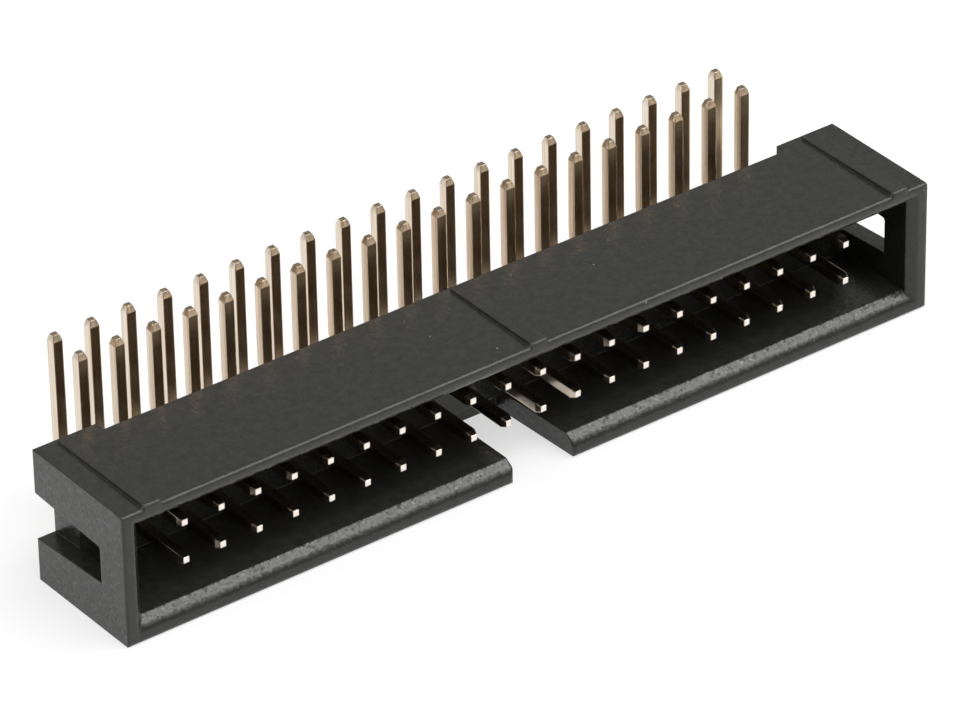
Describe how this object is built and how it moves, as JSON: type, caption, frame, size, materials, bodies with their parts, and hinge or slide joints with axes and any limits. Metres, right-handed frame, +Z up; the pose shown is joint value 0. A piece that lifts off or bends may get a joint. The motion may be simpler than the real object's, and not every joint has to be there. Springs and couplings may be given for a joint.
{
  "type": "idc box header",
  "caption": "Right-angle shrouded pin header for a flat-cable plug: a black moulded box with a key notch, end slots and bent square contacts that solder to a board.",
  "frame": {"origin": "on the resting side, under the middle of the whole header, halfway from the mouth to the rear solder tails", "axes": "+X along the contact rows, +Y from the mouth to the solder tails, +Z up from the keyed long wall to the board side and the tips of the tails"},
  "size_m": [0.0584, 0.0142, 0.0121],
  "materials": {
    "moulding": "fine satin moulded surface",
    "contact": "pale gold plating over bronze wire"
  },
  "bodies": {
    "root": {"housing": "moulding", "contact_a01": "contact", "contact_a02": "contact", "contact_a03": "contact", "contact_a04": "contact", "contact_a05": "contact", "contact_a06": "contact", "contact_a07": "contact", "contact_a08": "contact", "contact_a09": "contact", "contact_a10": "contact", "contact_a11": "contact", "contact_a12": "contact", "contact_a13": "contact", "contact_a14": "contact", "contact_a15": "contact", "contact_a16": "contact", "contact_a17": "contact", "contact_a18": "contact", "contact_a19": "contact", "contact_a20": "contact", "contact_b01": "contact", "contact_b02": "contact", "contact_b03": "contact", "contact_b04": "contact", "contact_b05": "contact", "contact_b06": "contact", "contact_b07": "contact", "contact_b08": "contact", "contact_b09": "contact", "contact_b10": "contact", "contact_b11": "contact", "contact_b12": "contact", "contact_b13": "contact", "contact_b14": "contact", "contact_b15": "contact", "contact_b16": "contact", "contact_b17": "contact", "contact_b18": "contact", "contact_b19": "contact", "contact_b20": "contact"}
  },
  "joints": []
}
